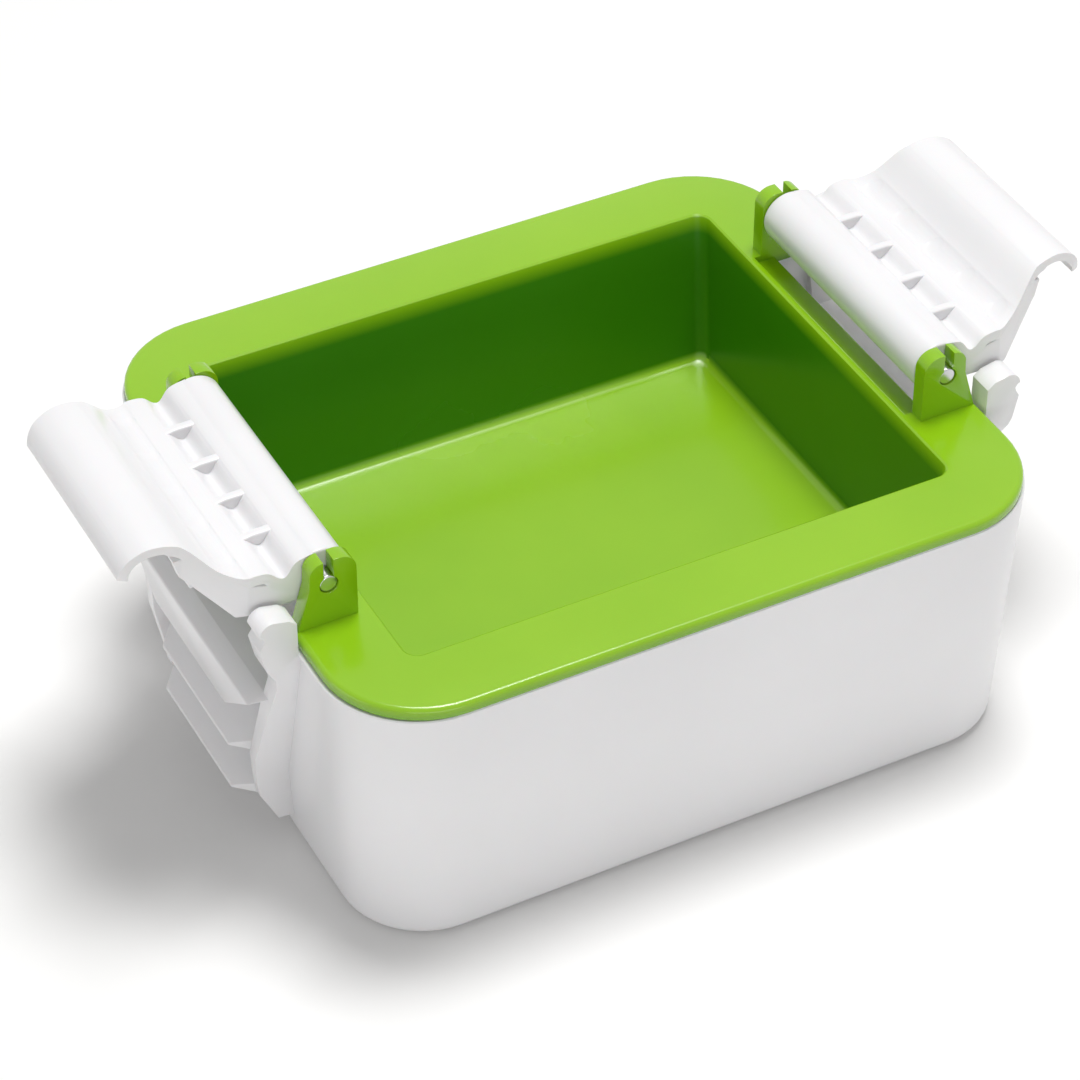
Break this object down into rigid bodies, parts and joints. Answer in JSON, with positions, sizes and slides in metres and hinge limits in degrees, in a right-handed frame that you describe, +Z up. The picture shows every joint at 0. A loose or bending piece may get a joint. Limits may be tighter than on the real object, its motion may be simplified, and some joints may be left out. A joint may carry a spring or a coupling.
{
  "type": "tofu press",
  "caption": "White tofu press with a green plunger lid, a drain basket inside, and hinged side clips that swing down to hold the lid on the tub.",
  "frame": {"origin": "centre of the tub's underside, the middle of the bottom of the bounding box", "axes": "+X towards the right clip, -Y towards the front, +Z up"},
  "size_m": [0.2214, 0.1376, 0.0892],
  "materials": {
    "white_plastic": "gloss",
    "green_plastic": "gloss",
    "steel": "polished"
  },
  "bodies": {
    "tub": {"tub": "white_plastic", "left_bracket": "white_plastic", "right_bracket": "white_plastic"},
    "basket": {"basket": "white_plastic"},
    "lid": {"lid": "green_plastic"},
    "left_clip": {"left_clip": "white_plastic", "left_pin": "steel"},
    "right_clip": {"right_clip": "white_plastic", "right_pin": "steel"}
  },
  "joints": [
    {"name": "basket_lift", "type": "slide", "parent": "tub", "child": "basket", "axis": [0, 0, 1], "range_m": [0, 0.075]},
    {"name": "lid_lift", "type": "slide", "parent": "basket", "child": "lid", "axis": [0, 0, 1], "range_m": [0, 0.075]},
    {"name": "left_clip_hinge", "type": "hinge", "parent": "lid", "child": "left_clip", "pos_m": [-0.0714, 0, 0.075], "axis": [0, -1, 0], "range_deg": [-20, 72]},
    {"name": "right_clip_hinge", "type": "hinge", "parent": "lid", "child": "right_clip", "pos_m": [0.0714, 0, 0.075], "axis": [0, 1, 0], "range_deg": [-20, 72]}
  ]
}
